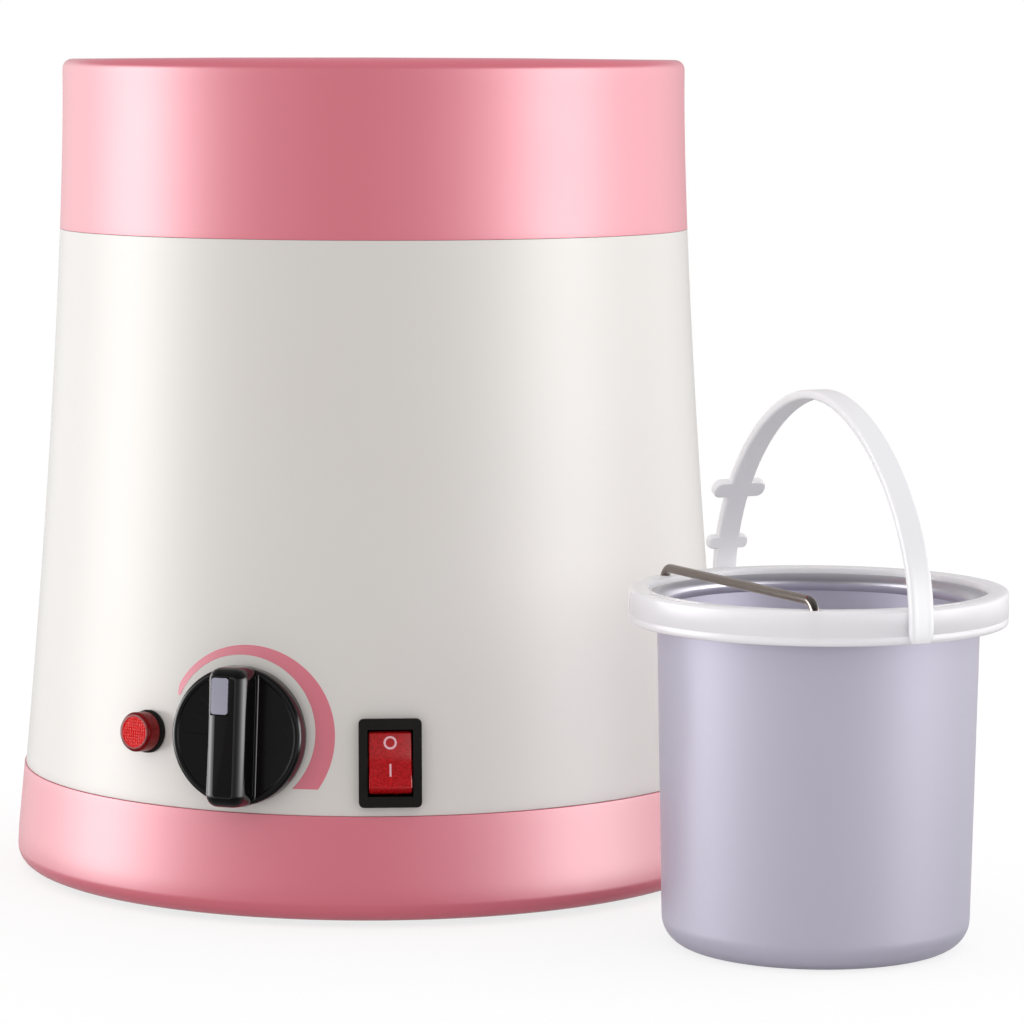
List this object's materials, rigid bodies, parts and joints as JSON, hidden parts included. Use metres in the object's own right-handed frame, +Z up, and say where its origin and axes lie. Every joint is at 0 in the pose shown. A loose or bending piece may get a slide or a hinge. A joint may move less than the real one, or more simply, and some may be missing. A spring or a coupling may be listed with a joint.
{
  "type": "wax warmer",
  "caption": "Round tabletop wax warmer with lift-off lid, dial, rocker switch and lamp, and a bail-handled wax pot standing beside it.",
  "frame": {"origin": "middle of the whole set's bounding box, at the table surface under the feet and the pot", "axes": "+Z up, -Y towards the heater's control front, +X from the heater towards the pot"},
  "size_m": [0.2824, 0.211, 0.215],
  "materials": {
    "pink_plastic": "gloss moulded ABS",
    "white_plastic": "gloss moulded ABS",
    "black_gloss": "polished black plastic",
    "black_plastic": "fine satin texture",
    "red_lens": "translucent red polycarbonate",
    "grey_mark": "printed inlay",
    "frosted_plastic": "translucent white polypropylene",
    "foot_rubber": "matt",
    "wool": "ceramic fibre",
    "moulding": "phenolic moulding",
    "pot_aluminium": "satin anodised",
    "well_aluminium": "spun, plain",
    "nickel_wire": "nickel plated",
    "steel": "zinc plated",
    "brass": "plain",
    "copper": "drawn copper"
  },
  "bodies": {
    "heater": {"base_shell": "pink_plastic", "base_plate": "black_plastic", "foot_1": "foot_rubber", "foot_2": "foot_rubber", "foot_3": "foot_rubber", "foot_4": "foot_rubber", "tie_screw_1": "steel", "tie_screw_2": "steel", "tie_screw_3": "steel", "tie_screw_4": "steel", "body_shell": "white_plastic", "deck_ring": "white_plastic", "heating_well": "well_aluminium", "well_retaining_ring": "steel", "heater_band": "copper", "band_clamp_screw": "steel", "band_clamp_nut": "steel", "insulation_sleeve": "wool", "heat_shield": "steel", "sensor_bulb": "copper", "thermal_fuse": "steel", "bulb_clip": "steel", "clip_screw": "steel", "capillary_tube": "copper", "thermostat_body": "moulding", "thermostat_nut": "steel", "lamp_body": "black_plastic", "lamp_lens": "red_lens", "lamp_nut": "black_plastic", "switch_frame": "black_plastic", "switch_terminal_1": "brass", "switch_terminal_2": "brass", "cord_gland": "black_plastic", "gland_nut": "black_plastic", "terminal_block": "moulding"},
    "knob": {"knob": "black_gloss", "knob_pointer": "grey_mark", "thermostat_shaft": "brass"},
    "rocker": {"rocker": "red_lens"},
    "lid": {"lid": "pink_plastic"},
    "pot": {"pot": "pot_aluminium", "pot_ring": "frosted_plastic", "scraper_wire": "nickel_wire"},
    "handle": {"handle": "white_plastic"}
  },
  "joints": [
    {"name": "knob_turn", "type": "hinge", "parent": "heater", "child": "knob", "pos_m": [-0.04518, -0.08432, 0.0473], "axis": [0, 0.996, -0.0891], "range_deg": [-70, 140]},
    {"name": "rocker_tilt", "type": "hinge", "parent": "heater", "child": "rocker", "pos_m": [-0.00945, -0.07604, 0.04116], "axis": [0.9191, 0.3939, 0], "range_deg": [0, 22]},
    {"name": "lid_lift", "type": "slide", "parent": "heater", "child": "lid", "axis": [0, 0, 1], "range_m": [0, 0.1]},
    {"name": "pot_lift", "type": "slide", "parent": "heater", "child": "pot", "axis": [0, 0, 1], "range_m": [0, 0.2]},
    {"name": "handle_swing", "type": "hinge", "parent": "pot", "child": "handle", "pos_m": [0.09545, -0.05973, 0.08335], "axis": [0.7071, -0.7071, 0], "range_deg": [-90, 90]}
  ]
}
